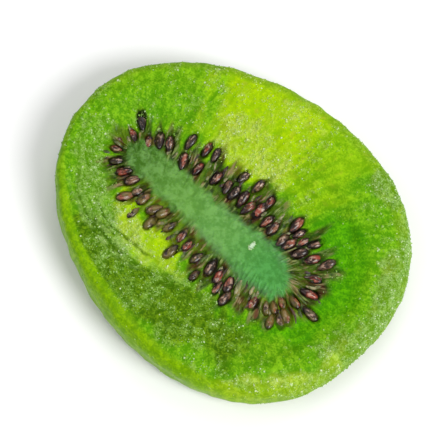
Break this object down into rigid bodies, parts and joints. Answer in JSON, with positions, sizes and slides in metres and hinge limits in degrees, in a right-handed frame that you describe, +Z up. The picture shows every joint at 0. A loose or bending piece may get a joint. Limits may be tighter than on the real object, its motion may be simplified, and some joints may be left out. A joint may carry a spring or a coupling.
{
  "type": "dried kiwi slice",
  "caption": "Slice of candied dried kiwi: a thick oval disc with dished cut faces, a long pale core standing up in the middle and a ring of small dark seeds round it.",
  "frame": {"origin": "middle of the slice's box, on the floor that it rests on", "axes": "+Z up out of the upper cut face, +X along the slice's long way towards the broad end of the core"},
  "size_m": [0.0456, 0.037, 0.007],
  "materials": {
    "candied_flesh": "translucent green candied fruit, sticky, with a fine frost of sugar",
    "kiwi_seed": "dark maroon-brown seed coat, slightly glossy",
    "sugar_crystal": "clear to white sugar grains"
  },
  "bodies": {
    "root": {"kiwi_slice": "candied_flesh"}
  },
  "joints": []
}
